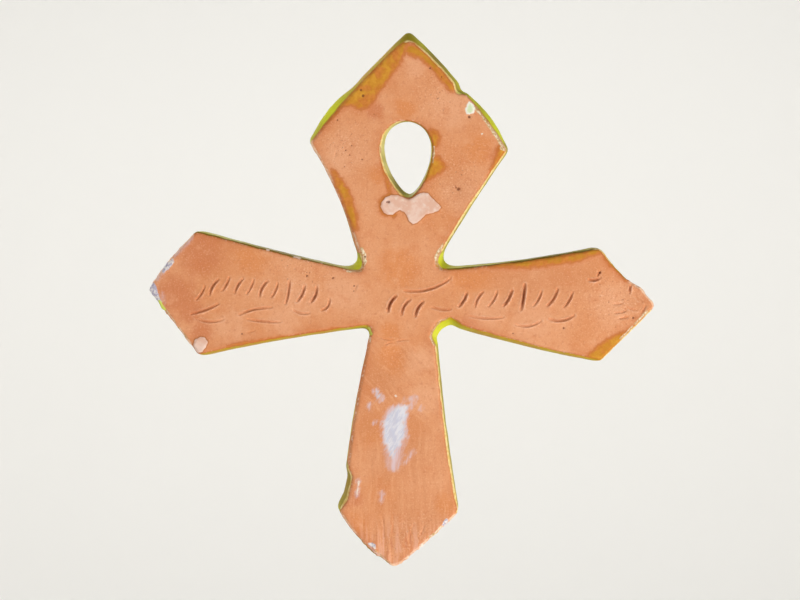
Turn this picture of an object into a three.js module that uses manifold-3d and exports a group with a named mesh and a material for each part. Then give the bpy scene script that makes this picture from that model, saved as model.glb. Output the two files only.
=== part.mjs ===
// Ceramic wall cross with a teardrop hanging hole: one piece of fired clay.
// Its back is bare and flat, and its glazed front reaches past the back on most sides.
// Millimetres. It is drawn flat and seen from the back: x to the right, y up the top arm, z out of the back.
// The zero point is the top of the hole's rim on the back face.
import * as THREE from 'three';
import { mergeVertices } from 'three/addons/utils/BufferGeometryUtils.js';
import Module from 'manifold-3d';

const wasm = await Module();
wasm.setup();

// Driving sizes
const THICKNESS = 12.5;
const BACK_ROUND = 0.8;
const FRONT_ROUND = 3.0;
const FRONT_REACH = 4.2;
const SOFTENING = 1.0;
const SHARP_TURN = THREE.MathUtils.degToRad(40);
const WALL_RINGS = 3;
const ROUND_RINGS = 3;
const SIDE_STEP = 5.0;
const ROUND_STEP = THREE.MathUtils.degToRad(24);
const SMALLEST_ROUND = 0.5;
const LARGEST_TANGENT_SHARE = 0.45;

const HOLE_WIDTH = 15.0;
const HOLE_LENGTH = 22.7;
const HOLE_TAPER = 0.85;
const HOLE_BLUNTNESS = 0.4;
const HOLE_LEAN = THREE.MathUtils.degToRad(2.5);
const HOLE_CENTRE = { x: 0.35, y: -HOLE_LENGTH / 2 };
const HOLE_POINTS = 40;
const HOLE_BACK_ROUND = 0.6;
const HOLE_FRONT_ROUND = 2.0;
const HOLE_NARROWING = 1.0;
const HOLE_FRONT_SHIFT = { x: 0.55, y: 1.5 };

const STROKE_DEPTH = 0.55;
const STROKE_HALF_WIDTH = 0.5;
const STROKE_STEP = 1.4;
const STROKE_RUN_OUT = 0.35;
const OVERCUT = 0.4;
const SAME_POINT = 1e-5;

const CLAY = { color: 0xd9925c, roughness: 0.9, metalness: 0 };

// A corner of the back outline, and the radius that it is rounded to. Bulge is how far the side that
// follows swells, or dips where negative. At the glazed front that side lies further out by its flare
// and swells by its bow as well, and the corner is rounded to the front round.
function corner(x, y, round, bulge, { flare = 0, bow = 0, frontRound = round + SOFTENING }) {
  return { x, y, round, bulge, flare, bow, frontRound };
}

// The corners run clockwise from the top point.
const topArmEnd = [
  corner(1.0, 25.6, 4.8, 0.2, { flare: 1.9, bow: 0.2, frontRound: 1.6 }),
  corner(14.4, 11.4, 1.0, 0, { flare: 2.0 }),
  corner(15.1, 8.4, 0.8, 0, { flare: 1.8 }),
  corner(18.1, 7.8, 1.4, 0.5, { flare: 1.4, bow: 0.8 }),
  corner(30.1, -8.5, 1.2, -0.3, { flare: 0.4 }),
];
const rightArm = [
  corner(6.9, -44.3, 3.0, -0.6, { flare: 0.5, frontRound: 4.8 }),
  corner(57.2, -37.2, 2.2, -0.2, { flare: 0.5 }),
  corner(64.8, -46.3, 3.0, 0.9, { flare: 0.3 }),
  corner(74.0, -54.3, 1.8, 0, { flare: 0.3 }),
  corner(57.5, -70.7, 2.0, 0.5, { flare: 0.5 }),
  corner(16.3, -60.3, 2.0, 0, { flare: 1.4 }),
];
const bottomArm = [
  corner(12.6, -57.4, 3.0, -0.6, { flare: 2.2 }),
  corner(7.1, -62.6, 3.0, 0, { flare: 1.2 }),
  corner(9.0, -65.9, 3.0, -0.5, { flare: 0.4 }),
  corner(15.6, -115.2, 2.4, 0.2, { flare: 0.4 }),
  corner(-3.5, -132.3, 4.0, 1.0, { flare: 0.4 }),
  corner(-19.7, -115.0, 1.5, 0, { flare: 1.2 }),
  corner(-17.1, -110.6, 2.0, 0, { flare: 1.6 }),
  corner(-15.9, -104.7, 1.0, 0, { flare: 1.2 }),
  corner(-17.2, -102.1, 1.5, 0.5, { flare: 0.1 }),
];
const leftArm = [
  corner(-10.0, -60.0, 1.6, -0.6, { flare: 0.5, frontRound: 2.6 }),
  corner(-61.0, -68.9, 1.5, 0, { flare: 0.3 }),
  corner(-76.0, -49.3, 2.5, 0.5, { flare: 0.3 }),
  corner(-61.8, -32.2, 2.0, -0.2, { flare: 0.6 }),
  corner(-11.2, -45.0, 2.4, -1.3, { flare: 0.1, frontRound: 4.8 }),
  corner(-28.1, -6.2, 1.2, 0.3, { flare: 1.7, bow: 1.1 }),
  corner(-14.2, 10.3, 8.0, 0.2, { flare: 1.9 }),
];
const outlineCorners = [...topArmEnd, ...rightArm, ...bottomArm, ...leftArm];

// A shallow stroke scratched into the back: its middle, its length, the angle of its direction in
// degrees, and how far its middle sags to the right of that direction. No two strokes meet.
function stroke(x, y, length, degrees, sag) {
  return { x, y, length, angle: THREE.MathUtils.degToRad(degrees), sag };
}

const leftArmStrokes = [
  stroke(-60.2, -50.6, 4.6, 58, 0.4),
  stroke(-56.6, -48.8, 5.2, 60, -0.4),
  stroke(-52.8, -48.0, 4.4, 62, 0.3),
  stroke(-49.2, -48.4, 4.8, 60, -0.3),
  stroke(-45.6, -48.8, 4.4, 64, 0.3),
  stroke(-42.0, -49.2, 5.0, 62, -0.4),
  stroke(-38.4, -49.8, 4.4, 66, 0.3),
  stroke(-34.6, -50.4, 6.6, 80, 0.3),
  stroke(-30.6, -50.8, 5.0, 64, 0.5),
  stroke(-26.8, -51.2, 4.8, 68, 0.6),
  stroke(-23.2, -54.2, 4.0, 56, 0.9),
  stroke(-59.0, -55.4, 8.4, 20, 0.4),
  stroke(-57.8, -58.6, 7.8, -4, 0.9),
  stroke(-44.2, -55.6, 9.6, 12, -0.5),
  stroke(-41.6, -58.8, 9.6, -5, 0.3),
  stroke(-30.8, -56.2, 5.0, -14, 0.7),
];
const centreStrokes = [
  stroke(6.6, -48.8, 14.0, 15, 1.5),
  stroke(-4.2, -53.6, 5.0, 62, -0.5),
  stroke(-0.2, -54.6, 5.0, 60, -0.5),
  stroke(3.8, -55.2, 4.8, 62, -0.4),
  stroke(10.4, -55.2, 5.6, -8, 0.4),
  stroke(17.0, -52.6, 4.6, 60, 0.4),
  stroke(21.4, -52.4, 5.0, 62, -0.4),
  stroke(25.8, -52.4, 5.0, 60, 0.4),
  stroke(30.2, -52.2, 5.0, 62, 0.3),
  stroke(24.0, -57.8, 9.4, -2, 0.5),
  stroke(34.6, -51.8, 7.4, 82, 0.2),
];
const rightArmStrokes = [
  stroke(39.0, -52.2, 4.8, 62, 0.4),
  stroke(43.4, -52.0, 5.8, 58, 0.5),
  stroke(48.0, -52.6, 5.0, 60, 0.4),
  stroke(46.0, -58.2, 7.2, 8, 1.0),
  stroke(36.2, -59.8, 7.4, 8, 1.0),
  stroke(55.6, -46.6, 3.4, 8, 0.4),
  stroke(66.0, -49.4, 2.0, 84, 0),
];
const strokes = [...leftArmStrokes, ...centreStrokes, ...rightArmStrokes];

function distance(from, to) {
  return Math.hypot(to.x - from.x, to.y - from.y);
}

// The unit vector from one point to another
function direction(from, to) {
  const length = distance(from, to);
  return { x: (to.x - from.x) / length, y: (to.y - from.y) / length };
}

// At each corner, how sharply the outline turns, the shift that moves both of its sides out by one
// millimetre, and the shift that moves them out by their flares.
const cornerFrames = outlineCorners.map((here, i) => {
  const count = outlineCorners.length;
  const previous = outlineCorners[(i + count - 1) % count];
  const before = direction(previous, here);
  const after = direction(here, outlineCorners[(i + 1) % count]);
  const cosine = before.x * after.x + before.y * after.y;
  const sine = before.x * after.y - before.y * after.x;
  const turn = Math.atan2(sine, cosine);
  const shiftFor = (first, second) => {
    const a = (first - second * cosine) / sine ** 2;
    const b = (second - first * cosine) / sine ** 2;
    return { x: -a * before.y - b * after.y, y: a * before.x + b * after.x };
  };
  const even = shiftFor(1, 1);
  const mean = (previous.flare + here.flare) / 2;
  const sharp = Math.abs(turn) > SHARP_TURN;
  const flared = sharp ? shiftFor(previous.flare, here.flare) : { x: even.x * mean, y: even.y * mean };
  return { turn, even, flared };
});

// A straight side needs no points of its own.
const sideStepCounts = outlineCorners.map((here, i) => {
  const next = outlineCorners[(i + 1) % outlineCorners.length];
  const steps = Math.round(distance(here, next) / SIDE_STEP);
  return here.bulge === 0 ? 1 : Math.max(2, steps);
});

// The closed outline for one ring of the wall. Every ring has the same number of points.
function outline({ inset, flare }) {
  const moved = outlineCorners.map((here, i) => {
    const { turn, even, flared } = cornerFrames[i];
    const inner = turn > 0;
    const softening = flare * (here.frontRound - here.round);
    const round = here.round + softening + (inner ? inset : -inset);
    return {
      x: here.x + flare * flared.x - inset * even.x,
      y: here.y + flare * flared.y - inset * even.y,
      round: Math.max(round, SMALLEST_ROUND),
      bulge: here.bulge + flare * here.bow,
    };
  });
  const count = moved.length;
  const rounds = moved.map((here, i) => {
    const previous = moved[(i + count - 1) % count];
    const next = moved[(i + 1) % count];
    const back = direction(here, previous);
    const on = direction(here, next);
    const half = Math.acos(THREE.MathUtils.clamp(back.x * on.x + back.y * on.y, -1, 1)) / 2;
    const nearest = Math.min(distance(here, next), distance(here, previous));
    const tangent = Math.min(here.round / Math.tan(half), LARGEST_TANGENT_SHARE * nearest);
    return {
      start: { x: here.x + tangent * back.x, y: here.y + tangent * back.y },
      end: { x: here.x + tangent * on.x, y: here.y + tangent * on.y },
      steps: Math.max(1, Math.ceil(Math.abs(cornerFrames[i].turn) / ROUND_STEP)),
    };
  });
  const points = [];
  moved.forEach((here, i) => {
    const { start, end, steps } = rounds[i];
    const arc = new THREE.QuadraticBezierCurve(
      new THREE.Vector2(start.x, start.y),
      new THREE.Vector2(here.x, here.y),
      new THREE.Vector2(end.x, end.y),
    );
    points.push(...arc.getPoints(steps));
    const next = rounds[(i + 1) % count].start;
    const along = direction(end, next);
    const sideSteps = sideStepCounts[i];
    for (let k = 1; k < sideSteps; k += 1) {
      const t = k / sideSteps;
      const swell = 4 * here.bulge * t * (1 - t);
      const x = end.x + (next.x - end.x) * t - along.y * swell;
      const y = end.y + (next.y - end.y) * t + along.x * swell;
      points.push(new THREE.Vector2(x, y));
    }
  });
  return points;
}

// A closed solid from rings of points that run clockwise, from the highest ring to the lowest
function loft(rings) {
  const count = rings[0].points.length;
  const positions = rings.flatMap(({ points, z }) => points.flatMap((p) => [p.x, p.y, z]));
  const index = [];
  for (let r = 0; r + 1 < rings.length; r += 1) {
    for (let k = 0; k < count; k += 1) {
      const a = r * count + k;
      const b = r * count + ((k + 1) % count);
      index.push(a, b, a + count, b, b + count, a + count);
    }
  }
  const lowest = (rings.length - 1) * count;
  for (const [a, b, c] of capTriangles(rings[0].points)) {
    index.push(a, b, c);
  }
  for (const [a, b, c] of capTriangles(rings[rings.length - 1].points)) {
    index.push(lowest + a, lowest + c, lowest + b);
  }
  const geometry = new THREE.BufferGeometry();
  geometry.setAttribute('position', new THREE.Float32BufferAttribute(positions, 3));
  geometry.setIndex(index);
  return solid(geometry);
}

// The triangles that fill a closed outline, each running anticlockwise
function capTriangles(points) {
  const vectors = points.map((p) => new THREE.Vector2(p.x, p.y));
  return THREE.ShapeUtils.triangulateShape(vectors, []).map(([a, b, c]) => {
    const area = THREE.ShapeUtils.area([vectors[a], vectors[b], vectors[c]]);
    return area > 0 ? [a, b, c] : [a, c, b];
  });
}

// A closed geometry as a solid that can be cut
function solid(geometry) {
  const merged = mergeVertices(geometry, SAME_POINT);
  const vertProperties = new Float32Array(merged.attributes.position.array);
  const triVerts = new Uint32Array(merged.index.array);
  return new wasm.Manifold(new wasm.Mesh({ numProp: 3, vertProperties, triVerts }));
}

// The cross's body: a small round at the back rim, walls that flare, and a soft glazed round at the front
function crossBody() {
  const rings = [];
  for (let k = 0; k < ROUND_RINGS; k += 1) {
    const angle = (k / (ROUND_RINGS - 1)) * (Math.PI / 2);
    const inset = BACK_ROUND * (1 - Math.sin(angle));
    rings.push({ z: -BACK_ROUND * (1 - Math.cos(angle)), points: outline({ inset, flare: 0 }) });
  }
  const wallDepth = THICKNESS - FRONT_ROUND - BACK_ROUND;
  for (let k = 1; k < WALL_RINGS; k += 1) {
    const share = k / WALL_RINGS;
    const flare = Math.sin((share * Math.PI) / 2);
    rings.push({ z: -BACK_ROUND - wallDepth * share, points: outline({ inset: 0, flare }) });
  }
  for (let k = 0; k <= ROUND_RINGS; k += 1) {
    const angle = (k / ROUND_RINGS) * (Math.PI / 2);
    const inset = FRONT_REACH * (1 - Math.cos(angle));
    const depth = THICKNESS - FRONT_ROUND * (1 - Math.sin(angle));
    rings.push({ z: -depth, points: outline({ inset, flare: 1 }) });
  }
  return loft(rings);
}

// How far the teardrop's side lies from its middle line at one turn round it, from the point at the bottom
function teardropSide(turn) {
  return Math.sin(turn) * Math.hypot(Math.sin(turn / 2), HOLE_BLUNTNESS) ** HOLE_TAPER;
}

// The hanging hole's teardrop, point down, widened all round by grow. Share runs from 0 at the back to 1 at
// the front, where the hole is narrower and lies a little higher.
function teardrop(grow, share) {
  const halfWidth = (HOLE_WIDTH - share * HOLE_NARROWING) / 2 + grow;
  const halfLength = (HOLE_LENGTH - share * HOLE_NARROWING) / 2 + grow;
  const turns = Array.from({ length: HOLE_POINTS }, (_, k) => ((k + 0.5) / HOLE_POINTS) * 2 * Math.PI);
  const widest = Math.max(...turns.map(teardropSide));
  return turns.map((turn) => {
    const side = teardropSide(turn) / widest;
    const local = new THREE.Vector2(-halfWidth * side, -halfLength * Math.cos(turn));
    local.rotateAround(new THREE.Vector2(0, 0), HOLE_LEAN);
    local.x += HOLE_CENTRE.x + share * HOLE_FRONT_SHIFT.x;
    local.y += HOLE_CENTRE.y + share * HOLE_FRONT_SHIFT.y;
    return local;
  });
}

// What is cut away for the hanging hole, which opens out softly at both rims
function hangingHole() {
  const rings = [{ z: OVERCUT, points: teardrop(HOLE_BACK_ROUND, 0) }];
  for (let k = 0; k < ROUND_RINGS; k += 1) {
    const angle = (k / (ROUND_RINGS - 1)) * (Math.PI / 2);
    const grow = HOLE_BACK_ROUND * (1 - Math.sin(angle));
    rings.push({ z: -HOLE_BACK_ROUND * (1 - Math.cos(angle)), points: teardrop(grow, 0) });
  }
  for (let k = 0; k <= ROUND_RINGS; k += 1) {
    const angle = (k / ROUND_RINGS) * (Math.PI / 2);
    const grow = HOLE_FRONT_ROUND * (1 - Math.cos(angle));
    const depth = THICKNESS - HOLE_FRONT_ROUND * (1 - Math.sin(angle));
    rings.push({ z: -depth, points: teardrop(grow, 1) });
  }
  rings.push({ z: -THICKNESS - OVERCUT, points: teardrop(HOLE_FRONT_ROUND, 1) });
  return loft(rings);
}

// A V groove along a stroke, deepest in the middle and running out at both ends
function strokeGroove({ x, y, length, angle, sag }) {
  const steps = Math.max(2, Math.round(length / STROKE_STEP));
  const along = new THREE.Vector2(Math.cos(angle), Math.sin(angle));
  const across = new THREE.Vector2(along.y, -along.x);
  const line = [];
  for (let k = 0; k <= steps; k += 1) {
    const t = k / steps;
    const run = (t - 0.5) * length;
    const bend = sag * (4 * t * (1 - t) - 0.5);
    line.push(new THREE.Vector2(x, y).addScaledVector(along, run).addScaledVector(across, bend));
  }
  const positions = [];
  line.forEach((p, k) => {
    const ahead = line[Math.min(k + 1, steps)];
    const behind = line[Math.max(k - 1, 0)];
    const way = new THREE.Vector2().subVectors(ahead, behind).normalize();
    const share = (k + STROKE_RUN_OUT) / (steps + 2 * STROKE_RUN_OUT);
    const fade = Math.sqrt(Math.sin(share * Math.PI));
    const rim = STROKE_HALF_WIDTH * fade * (1 + OVERCUT / STROKE_DEPTH);
    positions.push(p.x - way.y * rim, p.y + way.x * rim, OVERCUT * fade);
    positions.push(p.x, p.y, -STROKE_DEPTH * fade);
    positions.push(p.x + way.y * rim, p.y - way.x * rim, OVERCUT * fade);
  });
  const index = [];
  for (let k = 0; k < steps; k += 1) {
    for (let side = 0; side < 3; side += 1) {
      const a = 3 * k + side;
      const b = 3 * k + ((side + 1) % 3);
      index.push(a, a + 3, b, b, a + 3, b + 3);
    }
  }
  const last = 3 * steps;
  index.push(0, 1, 2, last, last + 2, last + 1);
  const geometry = new THREE.BufferGeometry();
  geometry.setAttribute('position', new THREE.Float32BufferAttribute(positions, 3));
  geometry.setIndex(index);
  return solid(geometry);
}

// The finished solid as a mesh geometry
function shapeGeometry(manifold) {
  const { vertProperties, triVerts } = manifold.getMesh();
  const geometry = new THREE.BufferGeometry();
  geometry.setAttribute('position', new THREE.Float32BufferAttribute(vertProperties, 3));
  geometry.setIndex(Array.from(triVerts));
  geometry.computeVertexNormals();
  return geometry;
}

let clay = crossBody().subtract(hangingHole());
for (const one of strokes) {
  clay = clay.subtract(strokeGroove(one));
}

const cross = new THREE.Mesh(shapeGeometry(clay), new THREE.MeshStandardMaterial(CLAY));
cross.name = 'ceramic_cross';

// The cross stands upright as it hangs: the top arm up and the back towards +Y, against the wall.
cross.rotation.set(Math.PI / 2, 0, Math.PI, 'ZYX');

const hangingCross = new THREE.Group();
hangingCross.add(cross);

export default hangingCross;
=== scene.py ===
import math

import bmesh
import bpy
import numpy as np
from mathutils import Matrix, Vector, kdtree, noise


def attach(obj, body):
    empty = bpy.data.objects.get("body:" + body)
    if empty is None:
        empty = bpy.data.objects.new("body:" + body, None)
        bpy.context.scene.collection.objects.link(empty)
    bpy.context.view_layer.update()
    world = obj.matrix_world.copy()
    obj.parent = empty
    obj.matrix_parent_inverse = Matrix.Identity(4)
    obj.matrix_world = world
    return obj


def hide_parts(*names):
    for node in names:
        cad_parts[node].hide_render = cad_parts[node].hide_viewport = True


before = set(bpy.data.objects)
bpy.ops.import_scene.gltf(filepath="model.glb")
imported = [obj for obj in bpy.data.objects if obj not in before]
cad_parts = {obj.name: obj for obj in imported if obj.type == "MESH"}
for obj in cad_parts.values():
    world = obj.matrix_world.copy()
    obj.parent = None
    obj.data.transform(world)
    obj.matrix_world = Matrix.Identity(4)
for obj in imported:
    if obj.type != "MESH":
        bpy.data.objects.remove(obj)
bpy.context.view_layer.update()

# The cross hangs upright with its bare back towards +Y. Marks on the back are placed in millimetres
# as someone who faces the back sees them: x to the right and y up, from the top of the hole's rim.
MM = 0.001
THICKNESS = 12.5

# The photo's frame, and its scale on the back face
FRAME_WIDTH = 800
FRAME_CENTRE = (400, 300)
ORIGIN_PIXEL = (405.5, 121)
PIXELS_PER_MM = 3.4
CAMERA_DISTANCE = 0.45
SENSOR_WIDTH = 36

# Mesh. The skin's step is in metres, and the zones round a stroke are in half widths of that stroke.
# Everything else here is in millimetres.
SKIN_STEP = 0.00069
WALL_SMOOTHINGS = 2
BACK_ROUND = 0.8
HOLE_ROUND = 0.6
LEVEL_TOLERANCE = 0.02
RIM_SAMPLE = 0.3
FLAT_MARGIN = 1.0
RIM_ZONE = 1.2
RIM_DEPTH = 1.6
PATCH_ZONE = 0.7
STROKE_ZONE = 2.7
INNER_STROKE_ZONE = 2.2

# Relief in millimetres
STROKE_DEPTH = 0.58
STROKE_HALF_WIDTH = 0.42
BURR_HEIGHT = 0.28
SLIP_HEIGHT = 0.30
SPILL_HEIGHT = 0.08
CRUMB_HEIGHT = 0.10
PORE_DEPTH = 0.3
TIP_RIDGE_HEIGHT = 0.50
TIP_NOTCH_DEPTH = 0.28
PILLOW = 0.8

# How far past half its length a stroke is still measured, in millimetres
STROKE_MARGIN = 3

# The thumb mark below the crossing, with a raised lip along its upper side
THUMB_CENTRE = (-2.6, -70.0)
THUMB_HALF_SIZE = (4.6, 5.4)
THUMB_DEPTH = 0.32
THUMB_LIP = 0.14
THUMB_LIP_HEIGHTS = (-72, -66)

# Heights on the back, in millimetres, where the marks of wiping are absent and where they are full.
# The slanted ones lie between two such pairs.
UPRIGHT_WIPING = (-84, -96)
SLANTED_WIPING = (-64, -70)
SLANTED_WIPING_END = (-98, -84)
TIP_RIDGES = (-114, -126)
TIP_NOTCHES = (-119, -126)

# The same for the streaks of tone that go with them; at the tip these are painted highlights on the ridges
# with painted shade between them
UPRIGHT_STREAKS = (-84, -94)
SLANTED_STREAKS = (-62, -68)
SLANTED_STREAKS_END = (-94, -84)
TIP_RIDGE_PAINTED_LIGHT = (-114, -127)

# The same for extra wear: by height at the bottom arm's tip, and across at the left arm's
BOTTOM_TIP_WEAR = (-118, -127)
LEFT_TIP_WEAR = (-66, -73)

# How far the glaze reaches in from the silhouette of the back, in millimetres: usually, and along the
# rims of each kind, of which a later one goes over an earlier one
USUAL_REACH = 0.12
RIM_REACHES = {
    "painted_shade_olive_rim": 0.35,
    "ochre_rim": 0.28,
    "thin_glaze_and_painted_highlight_rim": 0.42,
    "bare_rim": -4.0,
}

# Studio, in metres
FLOOR_HEIGHT = -0.95
FLOOR_RADIUS = 0.80
WALL_RADIUS = 1.65
WALL_TOP = 1.7
WALL_TONE_HEIGHT = -0.2
BEND_STEPS = 12
TURN_STEPS = 96

# Strokes scratched into the back: middle, length, direction in degrees, sag to the right of it, and weight
STROKES = [
    (-60.2, -50.6, 4.6, 58, 0.4, 0.8),
    (-56.6, -48.8, 5.2, 60, -0.4, 1.0),
    (-52.8, -48.0, 4.4, 62, 0.3, 0.8),
    (-49.2, -48.4, 4.8, 60, -0.3, 0.9),
    (-45.6, -48.8, 4.4, 64, 0.3, 0.7),
    (-42.0, -49.2, 5.0, 62, -0.4, 1.0),
    (-38.4, -49.8, 4.4, 66, 0.3, 0.8),
    (-34.6, -50.4, 6.6, 80, 0.3, 0.9),
    (-30.6, -50.8, 5.0, 64, 0.5, 1.0),
    (-26.8, -51.2, 4.8, 68, 0.6, 1.1),
    (-23.2, -54.2, 4.0, 56, 0.9, 0.8),
    (-59.0, -55.4, 8.4, 20, 0.4, 0.9),
    (-57.8, -58.6, 7.8, -4, 0.9, 0.7),
    (-44.2, -55.6, 9.6, 12, -0.5, 0.8),
    (-41.6, -58.8, 9.6, -5, 0.3, 0.7),
    (-30.8, -56.2, 5.0, -14, 0.7, 0.7),
    (6.6, -48.8, 14.0, 15, 1.5, 0.9),
    (-4.2, -53.6, 5.0, 62, -0.5, 1.4),
    (-0.2, -54.6, 5.0, 60, -0.5, 1.1),
    (3.8, -55.2, 4.8, 62, -0.4, 1.3),
    (10.4, -55.2, 5.6, -8, 0.4, 0.7),
    (17.0, -52.6, 4.6, 60, 0.4, 1.2),
    (21.4, -52.4, 5.0, 62, -0.4, 0.9),
    (25.8, -52.4, 5.0, 60, 0.4, 0.8),
    (30.2, -52.2, 5.0, 62, 0.3, 1.2),
    (24.0, -57.8, 9.4, -2, 0.5, 0.7),
    (34.6, -51.8, 7.4, 82, 0.2, 1.3),
    (39.0, -52.2, 4.8, 62, 0.4, 0.8),
    (43.4, -52.0, 5.8, 58, 0.5, 1.0),
    (48.0, -52.6, 5.0, 60, 0.4, 0.9),
    (46.0, -58.2, 7.2, 8, 1.0, 0.9),
    (36.2, -59.8, 7.4, 8, 1.0, 0.7),
    (55.6, -46.6, 3.4, 8, 0.4, 1.0),
    (66.0, -49.4, 2.0, 84, 0, 0.9),
]

# Thin scratches and folds in the clay, in the same terms
SCRATCHES = [
    (62.4, -53.7, 2.8, 4, 0.1, 0.5),
    (63.2, -56.2, 3.4, 10, 0.2, 0.5),
    (64.0, -57.9, 3.0, 12, -0.1, 0.5),
    (66.6, -55.2, 3.2, -22, 0.3, 0.5),
    (70.0, -55.4, 2.4, 62, 0.2, 0.5),
    (68.6, -52.4, 2.6, -40, 0.2, 0.5),
    (-5.4, -64.0, 5.2, -10, 0.5, 0.4),
    (-1.6, -64.6, 4.6, 8, -0.3, 0.35),
    (-4.4, -65.4, 3.2, 6, -0.5, 0.45),
    (56.8, -44.9, 1.6, 60, 0, 0.7),
    (-14.6, -48.8, 1.4, 70, 0, 0.4),
    (18.0, -63.4, 2.4, 30, 0.2, 0.3),
    (-20.6, -9.6, 2.0, 80, 0, 0.3),
    (-45.4, -62.0, 2.6, 16, 0.1, 0.3),
    (-3.8, -118.6, 6.0, 86, 0.3, 0.2),
    (1.6, -121.4, 5.6, 78, -0.3, 0.25),
    (4.6, -121.0, 5.0, 64, 0.2, 0.2),
    (-6.6, -119.0, 6.4, 96, 0.3, 0.2),
]

# Patches on the back, as closed outlines of points and as bars of a start, an end and their two radii.
# Pink slip
SLIP_OUTLINES = [
    [
        (-7.2, -25.2), (-7.0, -23.9), (-6.0, -22.6), (-4.2, -21.8), (-2.3, -21.8), (-1.0, -22.4),
        (0.4, -22.9), (2.0, -22.6), (3.3, -21.8), (4.9, -21.1), (6.6, -21.3), (7.9, -22.6),
        (9.2, -23.9), (10.5, -25.4), (9.8, -26.4), (7.9, -27.0), (5.9, -27.6), (4.6, -28.9),
        (3.3, -30.1), (2.1, -30.3), (1.1, -29.4), (0.4, -27.8), (-0.5, -26.7), (-1.6, -26.2),
        (-2.8, -26.7), (-3.7, -27.5), (-5.1, -27.6), (-6.4, -27.0),
    ],
    [
        (-61.9, -64.4), (-60.4, -63.5), (-59.0, -63.7), (-58.2, -64.9), (-58.7, -66.6), (-59.7, -67.9),
        (-60.9, -68.2), (-62.0, -67.4), (-62.4, -65.9),
    ],
]

# Ochre glaze that ran over the back
SPILL_OUTLINES = [
    [
        (0.7, 23.8), (-0.4, 19.1), (-2.5, 15.9), (-4.6, 12.9), (-6.3, 10.6), (-7.9, 8.5),
        (-9.0, 5.9), (-11.0, 4.1), (-13.4, 3.4), (-15.1, 4.4), (-17.2, 4.7), (-19.0, 3.5),
        (-21.0, 1.5), (-24.6, -2.1), (-25.7, 0.3), (-19.3, 8.5), (-9.9, 16.8), (-1.6, 24.4),
    ],
    [
        (7.6, -11.0), (9.8, -10.5), (11.1, -12.1), (12.1, -13.8), (10.4, -15.0), (8.9, -16.1),
        (7.5, -16.4), (5.9, -17.9), (4.6, -17.2), (6.0, -14.5), (7.0, -12.5),
    ],
    [(7.3, -2.4), (9.2, -3.2), (10.0, -4.9), (9.2, -7.2), (8.0, -8.0), (7.4, -5.5), (7.0, -3.5)],
    [
        (-21.8, -14.0), (-19.6, -15.8), (-17.4, -19.1), (-16.0, -22.4), (-14.9, -25.6), (-14.1, -29.1),
        (-14.2, -32.0), (-15.4, -32.5), (-17.1, -27.4), (-18.8, -22.6), (-20.9, -17.9),
    ],
    [
        (25.0, -42.7), (34.3, -43.1), (39.0, -42.9), (45.4, -42.1), (52.8, -40.6), (56.2, -39.1),
        (58.2, -38.7), (57.0, -36.0), (50.0, -36.5), (42.0, -38.0), (34.3, -39.5), (25.0, -41.0),
    ],
    [
        (54.3, -68.2), (57.5, -65.3), (59.9, -63.8), (63.1, -62.4), (67.2, -61.0), (68.5, -62.5),
        (61.5, -69.5), (57.8, -72.5), (53.5, -70.5),
    ],
    [
        (27.1, -7.9), (26.8, -9.8), (26.0, -11.6), (25.1, -14.1), (24.6, -16.0), (26.5, -14.0),
        (29.5, -9.0), (30.0, -7.5), (28.0, -7.0),
    ],
]
SPILL_BARS = [
    (1.6, 21.0, 4.9, 19.6, 1.5, 1.2),
    (4.9, 19.6, 8.1, 16.6, 1.2, 1.1),
    (8.1, 16.6, 13.8, 9.6, 1.1, 0.9),
    (59.0, -40.2, 65.0, -46.3, 0.6, 0.5),
    (-4.6, -20.6, -6.6, -13.0, 0.3, 0.4),
    (-4.4, -21.6, -6.6, -22.8, 0.35, 0.4),
    (-7.1, -23.4, -7.1, -26.4, 0.4, 0.4),
    (-6.6, -27.0, -3.4, -27.7, 0.4, 0.35),
    (-52.0, -66.2, -20.0, -61.4, 0.3, 0.3),
]

# Cream crusts along the rims
CRUST_OUTLINES = [
    [
        (20.1, 3.8), (22.5, 0.9), (24.9, -2.6), (26.9, -5.9), (28.9, -8.6), (29.9, -7.9),
        (27.8, -4.7), (25.4, -1.5), (23.1, 1.8), (21.0, 4.4),
    ],
]
CRUST_BARS = [
    (8.4, -7.6, 8.0, -12.0, 0.35, 0.3),
    (-7.6, -7.6, -7.2, -9.2, 0.35, 0.3),
    (-12.9, -37.4, -12.2, -39.2, 0.4, 0.6),
    (-12.2, -39.2, -11.9, -41.2, 0.7, 0.6),
    (-11.9, -41.2, -13.4, -43.7, 0.6, 0.7),
    (-13.4, -43.7, -17.0, -44.1, 0.7, 0.5),
    (11.0, -36.3, 10.1, -37.9, 0.35, 0.5),
    (10.1, -37.9, 9.2, -40.0, 0.5, 0.75),
    (9.2, -40.0, 9.4, -41.6, 0.75, 0.65),
    (9.4, -41.6, 10.6, -43.3, 0.65, 0.5),
    (12.2, -58.1, 10.4, -58.7, 0.3, 0.4),
    (10.4, -58.7, 8.1, -61.8, 0.4, 0.45),
    (8.1, -61.8, 7.4, -63.7, 0.45, 0.5),
    (7.4, -63.7, 8.5, -65.9, 0.5, 0.3),
    (-70.4, -55.8, -67.6, -59.4, 0.3, 0.25),
    (-66.6, -60.8, -64.4, -63.8, 0.2, 0.28),
    (71.0, -56.1, 67.5, -59.7, 0.35, 0.3),
    (66.8, -60.4, 63.3, -64.0, 0.3, 0.35),
    (10.4, -119.4, 7.2, -122.4, 0.25, 0.2),
    (-8.8, -126.3, -7.0, -127.9, 0.25, 0.2),
    (-10.8, -63.4, -10.2, -65.2, 0.3, 0.25),
    (28.2, -8.0, 30.0, -8.6, 0.6, 0.5),
]

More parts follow.
